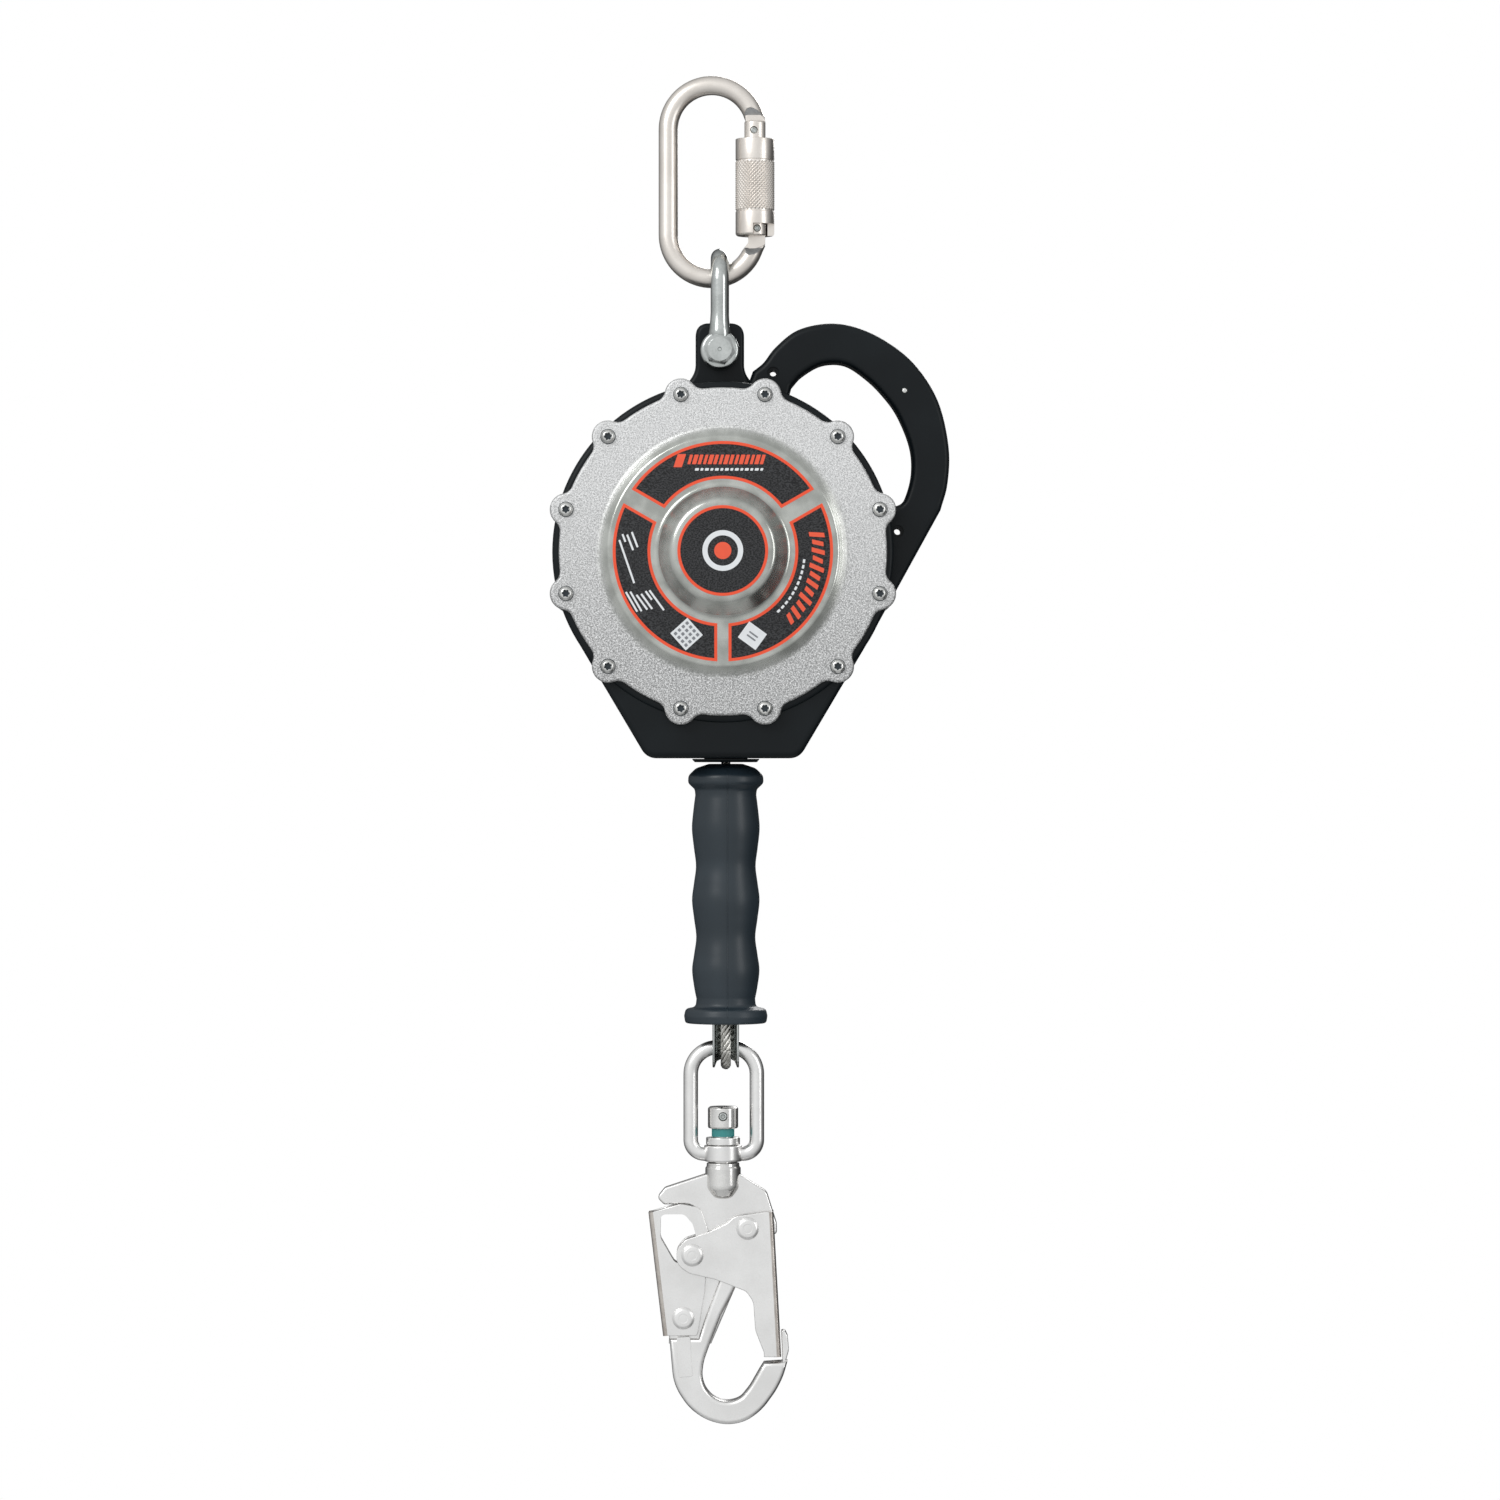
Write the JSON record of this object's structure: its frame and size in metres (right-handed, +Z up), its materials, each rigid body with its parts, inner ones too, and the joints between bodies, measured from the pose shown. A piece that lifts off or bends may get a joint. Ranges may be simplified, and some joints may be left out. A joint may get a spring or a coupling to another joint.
{
  "type": "self retracting lifeline",
  "caption": "Fall-arrest reel hung from a twist-lock carabiner; wire lifeline with hand grip, swivel and self-locking snap hook.",
  "frame": {"origin": "inside top of the anchor carabiner, where it bears on the anchor", "axes": "+Z up along the hanging lifeline, -Y towards the front cover, +X towards the carry handle"},
  "size_m": [0.2015, 0.092, 0.6848],
  "materials": {
    "carabiner_zinc": "satin zinc plate",
    "shackle_steel": "bright zinc plate",
    "cover_cast": "grainy galvanised skin",
    "screw_steel": "bright zinc plate",
    "casing_plastic": "fine moulded texture, black",
    "grip_rubber": "soft matt black",
    "wire_rope": "stranded galvanised wire",
    "hook_nickel": "satin nickel plate",
    "indicator_teal": "teal plastic",
    "inner_steel": "turned steel",
    "spring_steel": "blued spring steel",
    "bronze": "sintered bronze",
    "friction_lining": "pressed lining",
    "drum_alloy": "cast alloy"
  },
  "bodies": {
    "carabiner": {"carabiner_body": "carabiner_zinc", "carabiner_hinge_pin": "carabiner_zinc"},
    "carabiner_gate": {"carabiner_gate": "carabiner_zinc", "carabiner_latch_pin": "carabiner_zinc"},
    "carabiner_sleeve": {"carabiner_sleeve": "carabiner_zinc"},
    "shackle": {"shackle_bow": "shackle_steel", "shackle_bolt": "shackle_steel", "shackle_nut": "shackle_steel"},
    "housing": {"anchor_plate": "inner_steel", "front_casing": "casing_plastic", "rear_casing": "casing_plastic", "front_cover": "cover_cast", "rear_cover": "cover_cast", "cover_screw_01": "screw_steel", "cover_screw_02": "screw_steel", "cover_screw_03": "screw_steel", "cover_screw_04": "screw_steel", "cover_screw_05": "screw_steel", "cover_screw_06": "screw_steel", "cover_screw_07": "screw_steel", "cover_screw_08": "screw_steel", "cover_screw_09": "screw_steel", "cover_screw_10": "screw_steel", "cover_screw_11": "screw_steel", "cover_screw_12": "screw_steel", "outlet_guide": "casing_plastic", "main_shaft": "inner_steel", "shaft_nut": "inner_steel", "ratchet_ring": "inner_steel", "spring_case": "inner_steel", "power_spring": "spring_steel", "cable_lead": "wire_rope"},
    "drum": {"drum": "drum_alloy", "drum_bearing_front": "bronze", "drum_bearing_rear": "bronze", "pawl_carrier": "inner_steel", "friction_disc": "friction_lining", "wound_cable": "wire_rope", "pawl_pin_1": "inner_steel", "pawl_pin_2": "inner_steel"},
    "pawl_1": {"pawl_1": "inner_steel"},
    "pawl_2": {"pawl_2": "inner_steel"},
    "lifeline": {"grip": "grip_rubber", "cable_run": "wire_rope", "ferrule": "inner_steel", "cable_eye": "wire_rope", "thimble": "shackle_steel"},
    "swivel_link": {"swivel_link": "hook_nickel"},
    "hook": {"hook_body": "hook_nickel", "swivel_cap": "hook_nickel", "swivel_cap_pin": "hook_nickel", "indicator_band": "indicator_teal", "swivel_washer": "hook_nickel", "gate_rivet": "hook_nickel", "lock_rivet": "hook_nickel", "gate_spring": "spring_steel", "lock_spring": "spring_steel"},
    "hook_gate": {"hook_gate": "hook_nickel", "guide_rivet": "hook_nickel"},
    "lock_lever": {"lock_lever": "hook_nickel"}
  },
  "joints": [
    {"name": "carabiner_gate_hinge", "type": "hinge", "parent": "carabiner", "child": "carabiner_gate", "pos_m": [0.0229, 0, -0.068], "axis": [0, -1, 0], "range_deg": [0, 25], "stiffness_Nm_per_rad": 0.1, "springref_deg": -57.3},
    {"name": "sleeve_twist", "type": "hinge", "parent": "carabiner_gate", "child": "carabiner_sleeve", "pos_m": [0.0218, 0, -0.045], "axis": [0, 0, 1], "range_deg": [0, 90], "stiffness_Nm_per_rad": 0.02, "springref_deg": -45.84},
    {"name": "shackle_swing", "type": "hinge", "parent": "carabiner", "child": "shackle", "pos_m": [0.004, 0, -0.0931], "axis": [1, 0, 0], "range_deg": [-60, 60]},
    {"name": "housing_swing", "type": "hinge", "parent": "shackle", "child": "housing", "pos_m": [0.004, 0, -0.1305], "axis": [0, 1, 0], "range_deg": [-40, 40]},
    {"name": "lifeline_payout", "type": "slide", "parent": "housing", "child": "lifeline", "axis": [0, 0, -1], "range_m": [0, 6.1], "stiffness_N_per_m": 2, "springref_m": -7.5, "deforming": ["cable_run"]},
    {"name": "drum_turn", "type": "hinge", "parent": "housing", "child": "drum", "pos_m": [0.0057, 0, -0.2329], "axis": [0, 1, 0], "range_deg": [0, 7560.01]},
    {"name": "pawl_1_swing", "type": "hinge", "parent": "drum", "child": "pawl_1", "pos_m": [0.0417, 0, -0.2329], "axis": [0, -1, 0], "range_deg": [0, 25], "stiffness_Nm_per_rad": 0.01, "springref_deg": -57.3},
    {"name": "pawl_2_swing", "type": "hinge", "parent": "drum", "child": "pawl_2", "pos_m": [-0.0303, 0, -0.2329], "axis": [0, -1, 0], "range_deg": [0, 25], "stiffness_Nm_per_rad": 0.01, "springref_deg": -57.3},
    {"name": "link_swing", "type": "hinge", "parent": "lifeline", "child": "swivel_link", "pos_m": [0.006, 0, -0.4837], "axis": [1, 0, 0], "range_deg": [-75, 75]},
    {"name": "hook_swivel", "type": "hinge", "parent": "swivel_link", "child": "hook", "pos_m": [0.0056, 0, -0.5418], "axis": [0, 0, 1], "continuous": true},
    {"name": "hook_gate_hinge", "type": "hinge", "parent": "hook", "child": "hook_gate", "pos_m": [0.0181, 0, -0.5751], "axis": [0, 1, 0], "range_deg": [0, 25], "stiffness_Nm_per_rad": 0.15, "springref_deg": -57.3},
    {"name": "lock_lever_hinge", "type": "hinge", "parent": "hook", "child": "lock_lever", "pos_m": [-0.0145, 0, -0.6207], "axis": [0, 1, 0], "range_deg": [0, 8], "stiffness_Nm_per_rad": 0.3, "springref_deg": -28.65}
  ],
  "couplings": [
    {"joint": "drum_turn", "follows": "lifeline_payout", "rad_per_m": 21.631}
  ]
}
